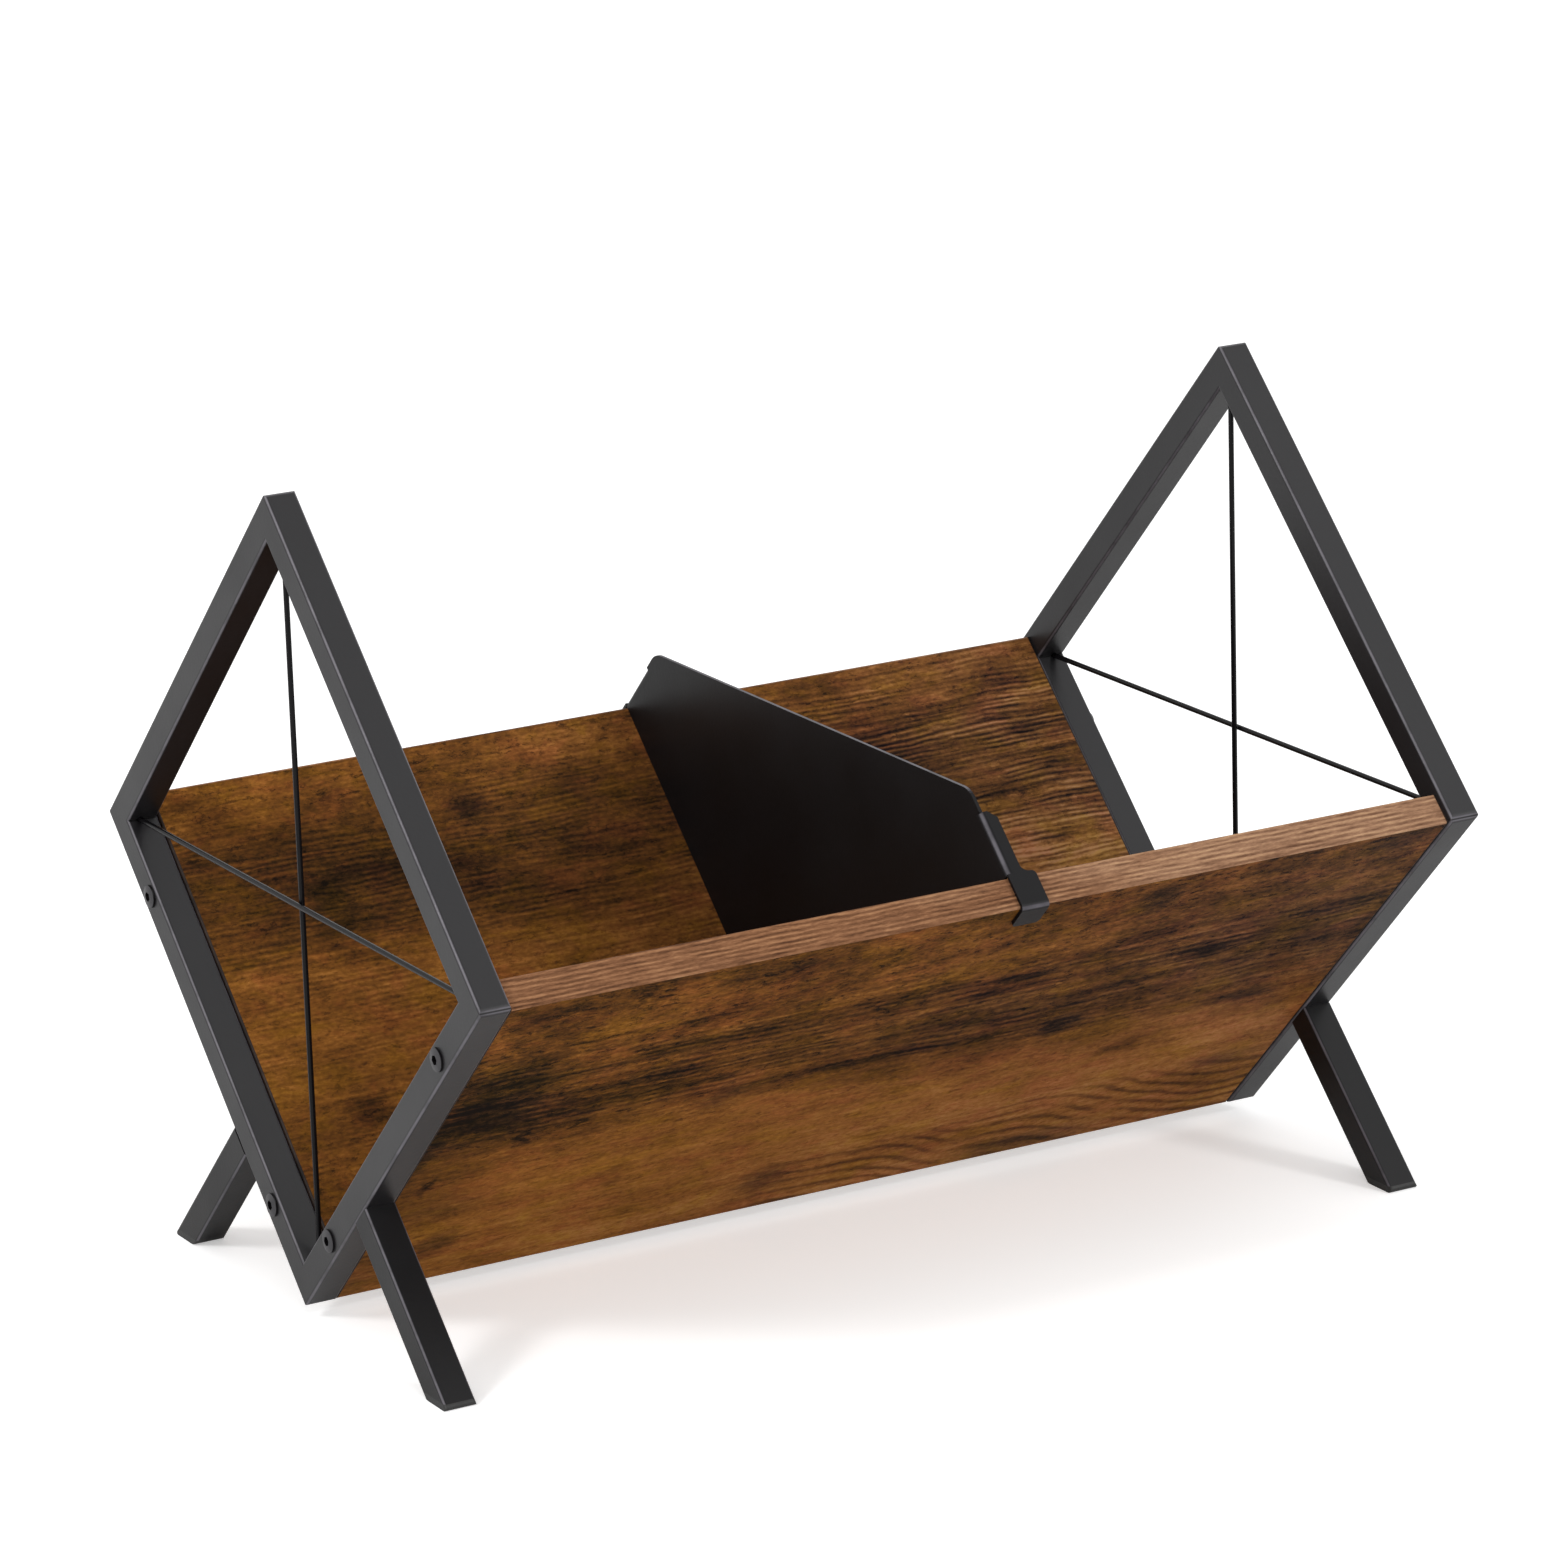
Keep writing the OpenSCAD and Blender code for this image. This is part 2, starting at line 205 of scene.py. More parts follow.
def powder_coat(name, base=0.009, lift=0.003, rough=(0.34, 0.46), specular=0.33, edge_wear_and_highlight=0.10, mitred=False):
    """Fine-grained black powder coat, thinner and lighter on the edges: partly real wear, partly painted
    highlight.

    Base is its shade, lift how much that varies, and the last argument how light the edges get, partly as
    worn coat and partly as painted highlight.
    """
    g = Graph(name)
    place = g.place()
    cloud = g.noise(place, scale=14.0, detail=3.0, roughness=0.55)
    grain = g.noise(place, scale=2600.0, detail=2.0, roughness=0.6)
    peel = g.noise(place, scale=520.0, detail=2.0, roughness=0.5)
    patchy_wear_and_highlight = g.noise(place, scale=60.0, detail=3.0, roughness=0.6)
    shade = g.total(g.product(cloud, lift), g.product(grain, lift * 0.8), base - lift)
    edge, across = edge_mask(g)
    # Painted highlight: the rounded edges are made lighter, partly for the coat worn thin there and partly
    # for the light they catch.
    shade = g.total(shade, g.product(edge, g.steps(patchy_wear_and_highlight, 0.3, 0.6, edge_wear_and_highlight * 0.5, edge_wear_and_highlight)))
    height = grain
    if mitred:
        seam_shade, seam_depth = 0.1, 4.0
        seam = mitre_mask(g, place, across)
        shade = g.product(shade, g.steps(seam, 0, 1, 1, seam_shade, smooth=False))
        height = g.math("SUBTRACT", grain, g.product(seam, seam_depth))
    green_share, blue_share = 0.93, 1.06
    colour = g.add("ShaderNodeCombineColor")
    g.feed(colour.inputs["Red"], shade)
    g.feed(colour.inputs["Green"], g.product(shade, green_share))
    g.feed(colour.inputs["Blue"], g.product(shade, blue_share))
    gloss = g.steps(g.total(cloud, g.product(grain, 0.5)), 0.4, 1.1, *rough)
    normal = g.bump(height, 0.16, 0.00012, g.bump(peel, 0.10, 0.0003))
    return g.surface(colour.outputs[0], gloss, normal, Specular_IOR_Level=specular)


def black_oxide(name):
    """Oiled black screw steel, finely turned, with painted light: paler on the faces that look along X,
    and darker, as painted shade, on the heads' rims.
    """
    g = Graph(name)
    place = g.place()
    fine = g.noise(place, scale=1900.0, detail=2.0, roughness=0.6)
    cloud = g.noise(place, scale=160.0, detail=2.0, roughness=0.5)
    _, across = edge_mask(g)
    # Painted light and shade: the heads' rims take the dark tone as painted shade, and the faces that look
    # along X take the paler tone as their lit side.
    dark = g.two_tone(cloud, (0.002, 0.002, 0.002), (0.006, 0.005, 0.006))
    lit_head_face = g.two_tone(cloud, (0.022, 0.021, 0.024), (0.038, 0.036, 0.040))
    colour = g.mix(g.steps(across, 0.90, 0.99), dark, lit_head_face)
    normal = g.bump(fine, 0.1, 0.0001)
    return g.surface(colour, g.between(fine, 0.30, 0.44), normal, Specular_IOR_Level=0.24)


def zinc(name):
    """Yellow zinc plate on the threaded inserts."""
    g = Graph(name)
    cloud = g.noise(g.place(), scale=220.0, detail=3.0, roughness=0.6)
    colour = g.two_tone(cloud, (0.46, 0.38, 0.22), (0.62, 0.56, 0.40))
    return g.surface(colour, g.between(cloud, 0.28, 0.42), g.bump(cloud, 0.1, 0.0001), Metallic=1.0)


def moulded_plastic(name):
    """Black polyethylene with a spark-eroded grain."""
    g = Graph(name)
    place = g.place()
    grain = g.noise(place, scale=1500.0, detail=3.0, roughness=0.6)
    cloud = g.noise(place, scale=60.0, detail=2.0, roughness=0.5)
    colour = g.two_tone(cloud, (0.012, 0.012, 0.012), (0.019, 0.019, 0.018))
    normal = g.bump(grain, 0.25, 0.00015)
    return g.surface(colour, g.between(grain, 0.44, 0.60), normal, Specular_IOR_Level=0.45)


# ---- boards ----


def board_place(g, rear):
    """Texture place in millimetres: along the board, down its slope, and through its thickness."""
    place = g.place()
    if rear:
        place = g.mapped(place, scale=(1, -1, 1))
    shifted = g.mapped(place, location=(0, HALF_DIAGONAL, -CENTRE_Z))
    along, through, rise = g.split(g.mapped(shifted, rotation=(math.radians(-45), 0, 0)))
    joined = g.add("ShaderNodeCombineXYZ")
    g.feed(joined.inputs[0], g.product(along, MM_PER_M))
    g.feed(joined.inputs[1], g.product(rise, -MM_PER_M))
    g.feed(joined.inputs[2], g.product(through, MM_PER_M))
    return joined.outputs[0]


# The saw lines are faint where their noise is under the first, and whole where it is over the second.
FADED, WHOLE = 0.42, 0.58


class Board(Graph):
    """A board's material: its nodes, and the places in millimetres that its textures are read at.

    thick is the place itself, with its thickness counted three times over. gentle and warped are pushed
    about from it, a little and a lot, and torn has ragged edges.
    """

    def __init__(self, name, rear, seed):
        super().__init__(name)
        self.seed = seed
        self.thick = self.mapped(board_place(self, rear), scale=(1, 1, 3))
        self.wobble = self.grain(self.thick, (0.009, 0.030, 0.05), 3.0, 0.6, (seed, 0, 0), colour=True)
        ragged = self.grain(self.thick, (0.10, 0.22, 0.2), 5.0, 0.75, colour=True)
        self.gentle = self.pushed(self.thick, self.wobble, (10, 7, 0))
        self.warped = self.pushed(self.thick, self.wobble, (60, 22, 0))
        self.torn = self.pushed(self.gentle, ragged, (30, 11, 0))
        self.along, self.slope, _ = self.split(self.gentle)

    def texture(self, base, scale, detail, roughness, reach, shift=0.0):
        """A tone about 0, from a noise with so many cells to the millimetre along and down."""
        moved = (self.seed + shift, self.seed * 2 + shift, 5)
        return self.about_zero(self.grain(base, (*scale, 0.1), detail, roughness, moved), reach)

    def flecks(self, scale, low, high, shift):
        """Small separate marks, where a noise on the torn place is high."""
        noise = self.grain(self.torn, (*scale, 0.4), 2.0, 0.6, (self.seed, shift, 2))
        return self.steps(noise, low, high)

    def spots(self, marks):
        """Sum of soft ellipses: each mark is (along, down, half length, half height, strength)."""
        rim, core = 1.35, 0.2
        ellipses = []
        for along, down, length, height, strength in marks:
            away = self.vector("SUBTRACT", self.torn, (along, down, 0))
            away = self.vector("MULTIPLY", away, (1 / length, 1 / height, 0))
            ellipses.append(self.steps(self.vector("LENGTH", away), rim, core, 0, strength))
        return self.total(*ellipses)

    def zones(self, zones):
        """Tone, mottle and saw lines by how far down the slope it is."""
        _, down, _ = self.split(self.pushed(self.torn, self.wobble, (0, 26, 0)))
        share = self.product(down, 1 / FRAME_SIDE / MM_PER_M)
        zone = self.add("ShaderNodeSeparateColor")
        self.feed(zone.inputs[0], self.ramp(share, [(where, levels) for where, *levels in zones]))
        return zone.outputs

    def saw_lines(self, per_mm, depth, kept):
        """Long streaks, and a regular cut that wanders and fades where kept is low."""
        wander = self.grain(self.thick, (0.014, 0.030, 0.05), 3.0, 0.6, (self.seed, 8, 0))
        phase = self.total(self.product(self.slope, 2 * math.pi * per_mm), self.product(wander, 20))
        cut = self.product(self.math("SINE", phase), self.steps(kept, FADED, WHOLE, 0.15, 1.0))
        scale = (0.006 + per_mm / 40, per_mm)
        streak = self.texture(self.gentle, scale, detail=3.0, roughness=0.60, reach=depth, shift=11.0)
        return self.total(streak, self.product(cut, depth * 0.8))

    def arches(self, arches):
        """Curved grain: its dark lines, and a list of the pale bands between them.

        Each arch is (where its fall starts, where it ends, the fall, pitch, first place, last place, top),
        all in millimetres along the board or down its slope.
        """
        ripple_height, pale_lift = 16, 0.07
        left_fade, right_fade, top_fade = 30, 16, 22
        patch = self.steps(self.grain(self.thick, (0.022, 0.06, 0.05), 2.0, 0.5), 0.33, 0.52, 0.2, 1.0)
        ripple = self.product(self.grain(self.thick, (0.016, 0.034, 0.05), 2.0, 0.5), ripple_height)
        dark, pale = None, []
        for start, end, fall, pitch, first, last, top in arches:
            level = self.math("SUBTRACT", self.slope, self.steps(self.along, start, end, 0, fall))
            level = self.math("SUBTRACT", level, ripple)
            wave = self.math("SINE", self.product(level, 2 * math.pi / pitch))
            left_end = self.steps(self.along, first, first + left_fade)
            right_end = self.steps(self.along, last, last - right_fade)
            below = self.steps(self.slope, top, top + top_fade)
            mask = self.product(left_end, right_end, below, patch)
            line = self.product(self.steps(wave, 0.1, 1.0), mask)
            dark = line if dark is None else self.math("MAXIMUM", dark, line)
            pale.append(self.product(self.steps(wave, 0.0, -1.0), mask, pale_lift))
        return dark, pale


WOOD_TONES = [
    (0.0, srgb(22, 16, 13)),
    (0.22, srgb(56, 37, 22)),
    (0.45, srgb(92, 58, 29)),
    (0.62, srgb(118, 75, 36)),
    (0.80, srgb(145, 95, 47)),
    (1.0, srgb(172, 120, 66)),
]
# Tints that the wood's colour is multiplied by
REDDISH = (1.06, 0.93, 1.10)
YELLOWISH = (0.98, 1.05, 0.74)
GREYISH = (0.76, 0.87, 1.22)
LEFT_TINT = (1.0, 0.97, 0.76)
RIGHT_TINT = (1.0, 1.0, 1.10)


def wood_hue(g, colour, grey):
    """Reddish and yellowish patches, a cooler right end, and grey stains."""
    hue = g.texture(g.warped, (0.026, 0.045), detail=4.0, roughness=0.75, reach=1.0, shift=90.0)
    colour = g.tinted(g.steps(hue, 0.0, 0.7, 0, 0.9), colour, REDDISH)
    colour = g.tinted(g.steps(hue, 0.0, -0.7, 0, 0.9), colour, YELLOWISH)
    to_right = g.steps(g.along, -210, 150)
    colour = g.mix(1.0, colour, g.mix(to_right, LEFT_TINT, RIGHT_TINT), "MULTIPLY")
    return g.tinted(grey, colour, GREYISH)


def board_wood(name, rear, seed, zones, dark_marks, light_marks, grey_marks, arches, saw_lines):
    """Rustic brown laminate: zones of tone down the slope, mottle, saw lines, stains, grain and pits.

    Each zone is (place down the slope from 0 to 1, tone, strength of the mottle, that of the saw lines).
    The saw lines have a number to the millimetre, a depth of tone, and the share of it left of middle.
    """
    g = Board(name, rear, seed)
    per_mm, depth, left_share = saw_lines
    middle, right = 20, 130
    tone, mottled, sawn = g.zones(zones)
    sawn = g.product(sawn, g.steps(g.along, middle, right, left_share, 1.0))
    kept = g.grain(g.torn, (0.030, 0.080, 0.05), 3.0, 0.6, (seed, 15, 0))
    saw = g.saw_lines(per_mm, depth, kept)

    mottle = g.texture(g.thick, (0.028, 0.050), detail=5.0, roughness=0.88, reach=0.30, shift=3.0)
    drift = g.texture(g.warped, (0.010, 0.030), detail=4.0, roughness=0.60, reach=0.09)
    fibres = g.texture(g.gentle, (0.035, 0.30), detail=3.0, roughness=0.60, reach=0.05, shift=7.0)
    grit = g.texture(g.thick, (0.32, 0.55), detail=2.0, roughness=0.60, reach=0.085, shift=17.0)
    tone = g.total(tone, drift, g.product(mottle, mottled), g.product(saw, sawn), fibres, grit)

    glint_lift, arch_depth, pit_depth = 0.16, 0.21, 0.32
    glints = g.flecks((0.045, 0.34), low=0.60, high=0.72, shift=31.0)
    pits = g.product(g.flecks((0.21, 0.40), low=0.57, high=0.66, shift=2.0), mottled)
    lines, pale = g.arches(arches)
    tone = g.math("SUBTRACT", g.total(tone, g.spots(light_marks)), g.spots(dark_marks))
    tone = g.total(tone, g.product(glints, sawn, glint_lift), *pale)
    tone = g.math("SUBTRACT", tone, g.product(lines, arch_depth))
    tone = g.math("SUBTRACT", tone, g.product(pits, pit_depth), clamp=True)

    sawn_grey = g.product(g.steps(kept, FADED, WHOLE, 0, 0.35), sawn)
    grey = g.total(g.spots(grey_marks), sawn_grey, g.product(lines, 0.4))
    colour = wood_hue(g, g.ramp(tone, WOOD_TONES), grey)
    rough = g.steps(tone, 0.1, 0.9, 0.62, 0.52, smooth=False)
    height = g.total(g.product(saw, 0.8), g.product(pits, -0.3), tone)
    return g.surface(colour, rough, g.bump(height, 0.30, 0.0002), Specular_IOR_Level=0.015)


# Painted shade: the band's tones for its left part are darker, for the shade that falls there; those for
# its right part are the band as lit.
BAND_SHADED_LEFT_TONES = [
    (0.0, srgb(70, 43, 29)),
    (0.35, srgb(103, 69, 46)),
    (0.6, srgb(127, 87, 60)),
    (1.0, srgb(160, 117, 82)),
]
BAND_LIT_RIGHT_TONES = [
    (0.0, srgb(90, 61, 45)),
    (0.35, srgb(124, 91, 69)),
    (0.6, srgb(148, 112, 86)),
    (1.0, srgb(180, 143, 109)),
]


def edge_band(name, rear, seed):
    """Tan edge banding: fine stripes along the board, dashes of dark grain, and painted shade that makes
    its left part darker than its paler right.
    """
    g = Graph(name)
    stripe_pitch = 2.4
    place = board_place(g, rear)
    along, _, through = g.split(place)
    wander = g.grain(place, (0.011, 0.1, 0.05), 3.0, 0.6, (seed, 0, 0))
    phase = g.total(g.product(through, 2 * math.pi / stripe_pitch), g.product(wander, 11))
    broken = g.grain(place, (0.045, 0.1, 0.30), 2.0, 0.5, (seed, 0, 4))
    stripe = g.product(g.math("SINE", phase), g.steps(broken, 0.36, 0.60, 0.35, 1.0))
    dash = g.grain(place, (0.10, 0.2, 0.9), 3.0, 0.65, (seed, 0, 9))
    fibre = g.grain(place, (0.5, 0.5, 2.4), 2.0, 0.6, (seed, 0, 1))
    patch = g.grain(place, (0.016, 0.1, 0.08), 2.0, 0.5, (seed, 0, 6))
    tone = g.total(g.product(stripe, 0.27), g.about_zero(dash, 0.24), g.about_zero(fibre, 0.12))
    middle_tone = 0.54
    tone = g.math("ADD", g.total(tone, g.about_zero(patch, 0.08)), middle_tone, clamp=True)
    # Painted shade: from the darker tones at the left to the paler ones at the right.
    side = g.steps(g.total(along, g.about_zero(patch, 60)), -80, 190)
    colour = g.mix(side, g.ramp(tone, BAND_SHADED_LEFT_TONES), g.ramp(tone, BAND_LIT_RIGHT_TONES))
    rough = g.steps(tone, 0.1, 0.9, 0.62, 0.50, smooth=False)
    return g.surface(colour, rough, g.bump(tone, 0.4, 0.0002), Specular_IOR_Level=0.06)


def shaded_end_banding(name):
    """Banding on the boards' ends, painted dark brown as the shade in the narrow gaps against the tubes,
    with a faint upright grain.
    """
    g = Graph(name)
    grain = g.grain(g.place(), (300, 160, 40), 3.0, 0.6)
    colour = g.two_tone(grain, srgb(22, 16, 13), srgb(46, 33, 25))
    normal = g.bump(grain, 0.2, 0.0002)
    return g.surface(colour, g.between(grain, 0.66, 0.5), normal, Specular_IOR_Level=0.2)


FRONT_WOOD = {
    "seed": 3.0,
    "saw_lines": (0.21, 0.15, 1.0),
    # Partly painted light: the front board's tones grow lighter towards the bottom of the slope, partly
    # its own pattern and partly painted light for the light thrown up there.
    "zones": [
        (0.0, 0.45, 1.0, 0.1), (0.12, 0.47, 1.0, 0.1), (0.20, 0.49, 0.9, 0.3), (0.25, 0.39, 0.9, 0.9),
        (0.42, 0.39, 0.8, 1.0), (0.49, 0.42, 0.7, 0.8), (0.55, 0.60, 0.6, 0.2), (0.68, 0.74, 0.45, 0.1),
        (0.84, 0.74, 0.45, 0.35), (1.0, 0.80, 0.45, 0.35),
    ],
    "dark_marks": [
        (-208, 76, 38, 26, 0.13), (-198, 104, 44, 20, 0.13), (-222, 90, 12, 30, 0.10),
        (-196, 18, 34, 17, 0.13), (-167, 14, 2.8, 12, 0.22), (-178, 48, 20, 2.0, 0.30),
        (-125, 48.5, 26, 2.0, 0.26), (-134, 61, 6, 4, 0.16), (-92, 17, 7, 5, 0.18),
        (46, 73, 22, 3.2, 0.30), (26, 83, 8, 6, 0.24), (87, 131, 12, 10, 0.30),
        (92, 24, 10, 14, 0.16), (215, 11, 26, 12, 0.14), (-184, 132, 4, 9, 0.34),
        (-157, 130, 4, 5, 0.34), (-222, 160, 5, 5, 0.20), (-30, 126, 70, 3.0, 0.18),
        (44, 127, 30, 3.0, 0.14), (-28, 231, 14, 14, 0.16), (-198, 225, 13, 14, 0.22),
        (-65, 228, 26, 3, 0.12), (-120, 236, 20, 2.5, 0.10), (116, 252, 38, 10, 0.14),
        (-231, 242, 18, 24, 0.14), (188, 141, 22, 6, 0.20), (206, 206, 22, 7, 0.10),
        (134, 169, 14, 6, 0.20), (-222, 163, 4, 7, 0.2), (-234, 130, 7, 30, 0.2),
        (231, 92, 7, 14, 0.16), (143, 86, 14, 9, 0.16), (-90, 133, 9, 12, 0.10),
        (-232, 130, 58, 130, 0.15), (-205, 185, 30, 16, 0.10), (-120, 190, 8, 20, 0.10),
        (30, 140, 70, 9, 0.10), (45, 110, 60, 14, 0.05),
    ],
    "light_marks": [
        (-110, 245, 70, 14, 0.10), (-222, 60, 14, 8, 0.08), (-120, 34, 60, 14, 0.06),
        (-130, 64, 60, 7, 0.16), (-232, 34, 9, 20, 0.20), (-228, 56, 9, 10, 0.14),
        (10, 48, 60, 10, 0.12), (-40, 60, 40, 6, 0.10), (10, 172, 100, 20, 0.05),
        (40, 206, 150, 26, 0.09), (-120, 142, 60, 9, 0.08), (190, 176, 45, 14, 0.06),
        (160, 150, 22, 6, 0.10), (-160, 92, 60, 1.6, 0.18), (-150, 82, 50, 1.4, 0.16),
        (-140, 102, 60, 1.4, 0.14), (110, 64, 26, 2.0, 0.16), (150, 96, 90, 20, 0.05),
        (70, 94, 60, 10, 0.05), (-30, 96, 50, 10, 0.05),
    ],
    "grey_marks": [
        (-203, 88, 26, 32, 0.4), (92, 24, 12, 16, 0.5), (215, 11, 26, 12, 0.6),
        (87, 131, 13, 11, 0.8), (-88, 131, 12, 14, 0.5), (-28, 231, 15, 15, 0.7),
        (-198, 225, 14, 14, 0.6), (116, 252, 40, 11, 0.8), (-231, 242, 20, 26, 0.5),
        (188, 141, 22, 6, 0.4), (-234, 130, 7, 30, 0.5), (190, 70, 120, 90, 0.7),
        (20, 100, 90, 30, 0.3), (46, 73, 22, 3.2, 0.4), (-184, 132, 7, 9, 0.4),
        (206, 206, 22, 7, 0.6), (-205, 185, 24, 12, 0.3),
    ],
    "arches": [(22, 84, 28, 10.0, -40, 84, 208), (104, 226, 40, 9.5, 66, 262, 196)],
}
REAR_WOOD = {
    "seed": 23.0,
    "saw_lines": (0.36, 0.26, 0.4),
    "zones": [
        (0.0, 0.58, 0.8, 0.4), (0.08, 0.58, 0.7, 0.6), (0.16, 0.38, 0.5, 1.0), (0.24, 0.36, 0.5, 1.0),
        (0.33, 0.38, 0.5, 1.0), (0.42, 0.60, 0.5, 1.0), (0.56, 0.62, 0.5, 0.7), (0.70, 0.56, 0.5, 0.5),
        (0.84, 0.50, 0.6, 0.8), (1.0, 0.54, 0.6, 0.4),
    ],
    "dark_marks": [
        (212, 52, 9, 7, 0.28), (205, 112, 14, 4, 0.26), (196, 84, 22, 3, 0.22),
        (214, 92, 20, 3, 0.22), (120, 60, 70, 18, 0.12), (-40, 150, 90, 14, 0.10),
        (-150, 70, 60, 22, 0.12), (30, 96, 10, 8, 0.28), (-88, 40, 12, 9, 0.22),
        (-190, 180, 14, 8, 0.24), (208, 20, 20, 8, 0.16),
    ],
    "light_marks": [
        (205, 90, 70, 110, 0.14), (205, 150, 30, 22, 0.10), (60, 180, 90, 22, 0.08),
        (-120, 120, 80, 16, 0.08), (200, 70, 20, 6, 0.10),
    ],
    "grey_marks": [
        (205, 90, 90, 120, 0.6), (212, 52, 9, 7, 0.5), (30, 96, 10, 8, 0.6),
        (-88, 40, 12, 9, 0.5), (120, 60, 70, 18, 0.2),
    ],
    "arches": [(-150, -40, 34, 7.2, -200, -20, 176)],
}


# ---- a material for every piece ----


def show(names, material):
    for name in names:
        mesh = nodes[name].data
        mesh.materials.clear()
        mesh.materials.append(material)


TUBES = ("upper_front_tube", "upper_rear_tube", "lower_front_tube", "lower_rear_tube")
frame_coat = powder_coat("frame coat", mitred=True)
# Painted shade: the legs take a darker copy of the frame's coat, standing in for the shade on them.
shaded_leg_coat = powder_coat("leg coat", base=0.005, specular=0.22)
# Painted shade: the rods take a darker copy of the frame's coat, for the dark surroundings they reflect.
shaded_rod_coat = powder_coat("rod coat", base=0.006, rough=(0.16, 0.24), specular=0.13, edge_wear_and_highlight=0.0)
plug_plastic = moulded_plastic("moulded plastic")
for side in ("left", "right"):
    show([f"{side}_{tube}" for tube in TUBES], frame_coat)
    show([f"{side}_front_leg", f"{side}_rear_leg"], shaded_leg_coat)
    show([f"{side}_vertical_rod", f"{side}_horizontal_rod"], shaded_rod_coat)
    show([f"{side}_front_foot_plug", f"{side}_rear_foot_plug"], plug_plastic)
show(["left_frame_screws", "right_frame_screws"], black_oxide("black oxide"))

# Painted shade: the end bands are dark for the shadowed gaps at the boards' ends.
end_band_painted_shade = shaded_end_banding("end banding")
insert_zinc = zinc("yellow zinc")
for end, rear, wood, band_seed in (("front", False, FRONT_WOOD, 4.0), ("rear", True, REAR_WOOD, 61.0)):
    show([f"{end}_board"], board_wood(f"{end} board wood", rear, **wood))
    band = edge_band(f"{end} edge band", rear, band_seed)
    show([f"{end}_board_top_band", f"{end}_board_bottom_band"], band)
    show([f"{end}_board_left_end_band", f"{end}_board_right_end_band"], end_band_painted_shade)
    show([f"{end}_board_inserts"], insert_zinc)
show(["divider"], powder_coat("divider coat", base=0.005, lift=0.004, specular=0.14))


# ---- floor, light and camera ----

FLOOR_REACH = 30  # metres each way
FLOOR_WHITE = (0.92, 0.92, 0.92, 1)
FLOOR_GLOW = 0.42  # added for the camera alone, so that the floor shows white
FLOOR_MIRROR_GLOW = 0.08
WORLD_LIGHT = 0.74
WHITE = (1, 1, 1, 1)

# Each lamp: place, the point it looks at, its size, and watts
LAMPS = {
    "edge": ((-2.4, -0.15, 2.0), (0, 0, 0.2), (0.6, 0.6), 30),
    "brow": ((1.5, -1.95, 1.85), (0, 0, 0.2), (0.5, 0.5), 16),
    "front": ((-0.3, -2.8, 0.45), (0, 0, 0.15), (2.0, 0.8), 14),
    "sky": ((1.2, -0.7, 2.35), (0, 0, 0.2), (0.9, 0.9), 3),
}

# The photo's camera, solved from the frame's corners: angles in degrees, lens and sensor in mm
CAMERA_PLACE = (-1.41119, -2.498245, 1.02304)
CAMERA_AZIMUTH, CAMERA_ELEVATION, CAMERA_ROLL = -29.4506, 15.9501, -1.7389
CAMERA_LENS, CAMERA_SENSOR = 152.647, 36
CAMERA_REACH = 100  # metres


def shown_white(tree, to_camera, to_mirrors):
    """One strength where the camera looks at a surface, another where gloss or glass does, and else 0."""
    path = tree.nodes.new("ShaderNodeLightPath")
    total = None
    rays = {"Is Camera Ray": to_camera, "Is Glossy Ray": to_mirrors, "Is Transmission Ray": to_mirrors}
    for output, strength in rays.items():
        share = tree.nodes.new("ShaderNodeMath")
        share.operation = "MULTIPLY"
        tree.links.new(path.outputs[output], share.inputs[0])
        share.inputs[1].default_value = strength
        if total is None:
            total = share.outputs[0]
            continue
        most = tree.nodes.new("ShaderNodeMath")
        most.operation = "MAXIMUM"
        tree.links.new(total, most.inputs[0])
        tree.links.new(share.outputs[0], most.inputs[1])
        total = most.outputs[0]
    return total


def make_world():
    """Plain white, seen as it is and lighting the stand at its own strength."""
    world = bpy.data.worlds.new("studio")
    bpy.context.scene.world = world
    world.use_nodes = True
    tree = world.node_tree
    tree.nodes.clear()
    mix = tree.nodes.new("ShaderNodeMixShader")
    tree.links.new(shown_white(tree, 1.0, 1.0), mix.inputs[0])
    for socket, strength in ((mix.inputs[1], WORLD_LIGHT), (mix.inputs[2], 1.0)):
        white = tree.nodes.new("ShaderNodeBackground")
        white.inputs["Color"].default_value = WHITE
        white.inputs["Strength"].default_value = strength
        tree.links.new(white.outputs[0], socket)
    output = tree.nodes.new("ShaderNodeOutputWorld")
    tree.links.new(mix.outputs[0], output.inputs[0])


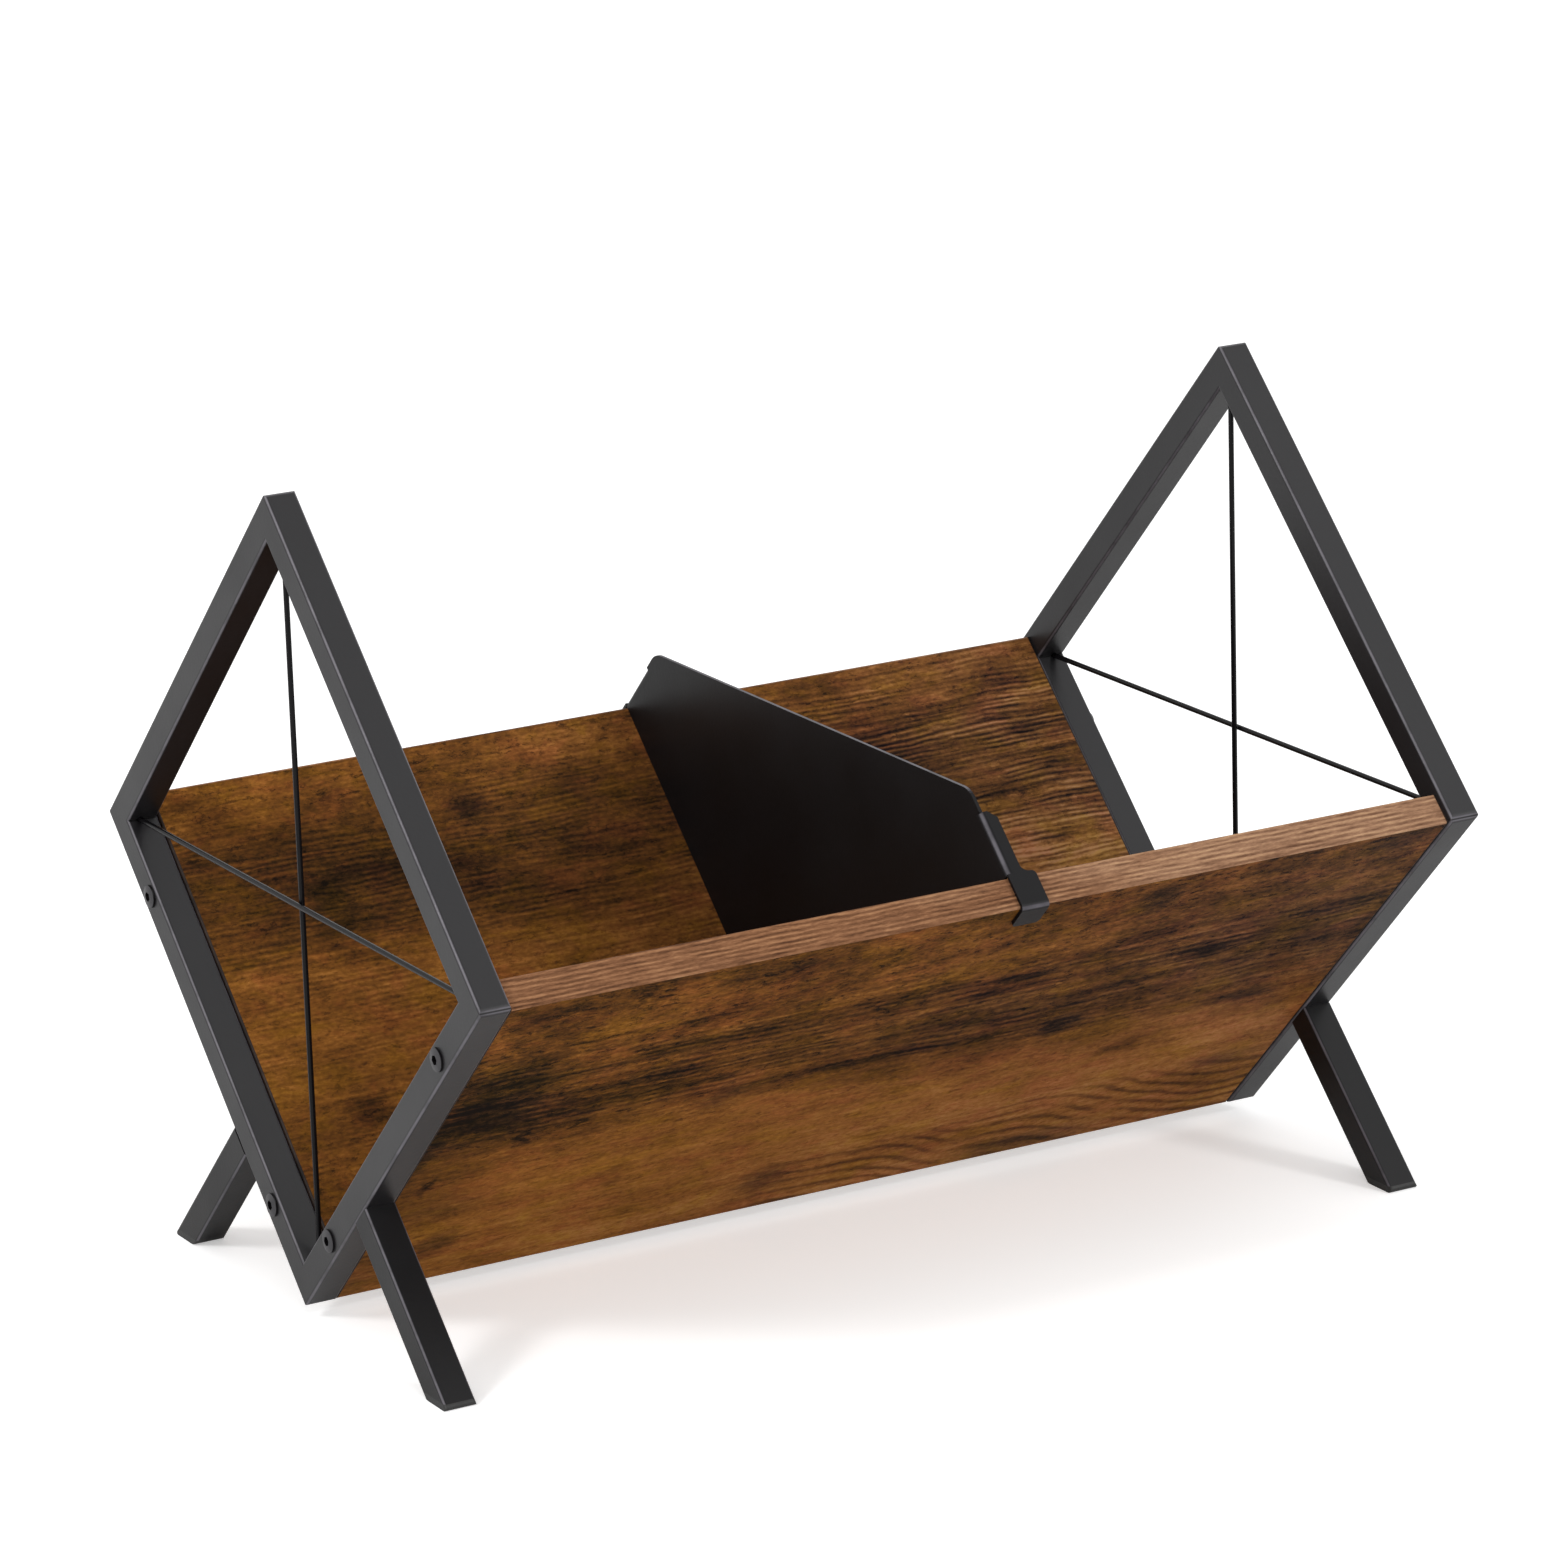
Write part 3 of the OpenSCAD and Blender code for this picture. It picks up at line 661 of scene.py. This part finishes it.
def make_floor():
    mesh = bpy.data.meshes.new("floor")
    r = FLOOR_REACH
    mesh.from_pydata([(-r, -r, 0), (r, -r, 0), (r, r, 0), (-r, r, 0)], [], [(0, 1, 2, 3)])
    floor = bpy.data.objects.new("floor", mesh)
    bpy.context.scene.collection.objects.link(floor)
    material = bpy.data.materials.new("floor")
    material.use_nodes = True
    tree = material.node_tree
    tree.nodes.clear()
    matte = tree.nodes.new("ShaderNodeBsdfDiffuse")
    matte.inputs["Color"].default_value = FLOOR_WHITE
    glow = tree.nodes.new("ShaderNodeEmission")
    both = tree.nodes.new("ShaderNodeAddShader")
    output = tree.nodes.new("ShaderNodeOutputMaterial")
    tree.links.new(shown_white(tree, FLOOR_GLOW, FLOOR_MIRROR_GLOW), glow.inputs["Strength"])
    tree.links.new(matte.outputs[0], both.inputs[0])
    tree.links.new(glow.outputs[0], both.inputs[1])
    tree.links.new(both.outputs[0], output.inputs[0])
    mesh.materials.append(material)


def add_lamp(name, place, target, size, watts):
    data = bpy.data.lights.new(name, "AREA")
    data.shape = "RECTANGLE"
    data.size, data.size_y = size
    data.energy = watts
    lamp = bpy.data.objects.new(name, data)
    lamp.location = place
    lamp.rotation_mode = "QUATERNION"
    lamp.rotation_quaternion = (Vector(target) - Vector(place)).to_track_quat("-Z", "Y")
    bpy.context.scene.collection.objects.link(lamp)


def make_camera():
    azimuth, elevation, roll = map(math.radians, (CAMERA_AZIMUTH, CAMERA_ELEVATION, CAMERA_ROLL))
    flat = math.cos(elevation)
    back = Vector((math.sin(azimuth) * flat, -math.cos(azimuth) * flat, math.sin(elevation)))
    right = (-back).cross(Vector((0, 0, 1))).normalized()
    up = right.cross(-back)
    x = math.cos(roll) * right + math.sin(roll) * up
    y = -math.sin(roll) * right + math.cos(roll) * up
    data = bpy.data.cameras.new("camera")
    data.sensor_width = CAMERA_SENSOR
    data.lens = CAMERA_LENS
    data.clip_end = CAMERA_REACH
    camera = bpy.data.objects.new("camera", data)
    turn = Matrix((x, y, back)).transposed().to_4x4()
    camera.matrix_world = Matrix.Translation(CAMERA_PLACE) @ turn
    bpy.context.scene.collection.objects.link(camera)
    bpy.context.scene.camera = camera


make_world()
make_floor()
for lamp_name, settings in LAMPS.items():
    add_lamp(lamp_name, *settings)
make_camera()
bpy.context.scene.view_settings.view_transform = "Standard"
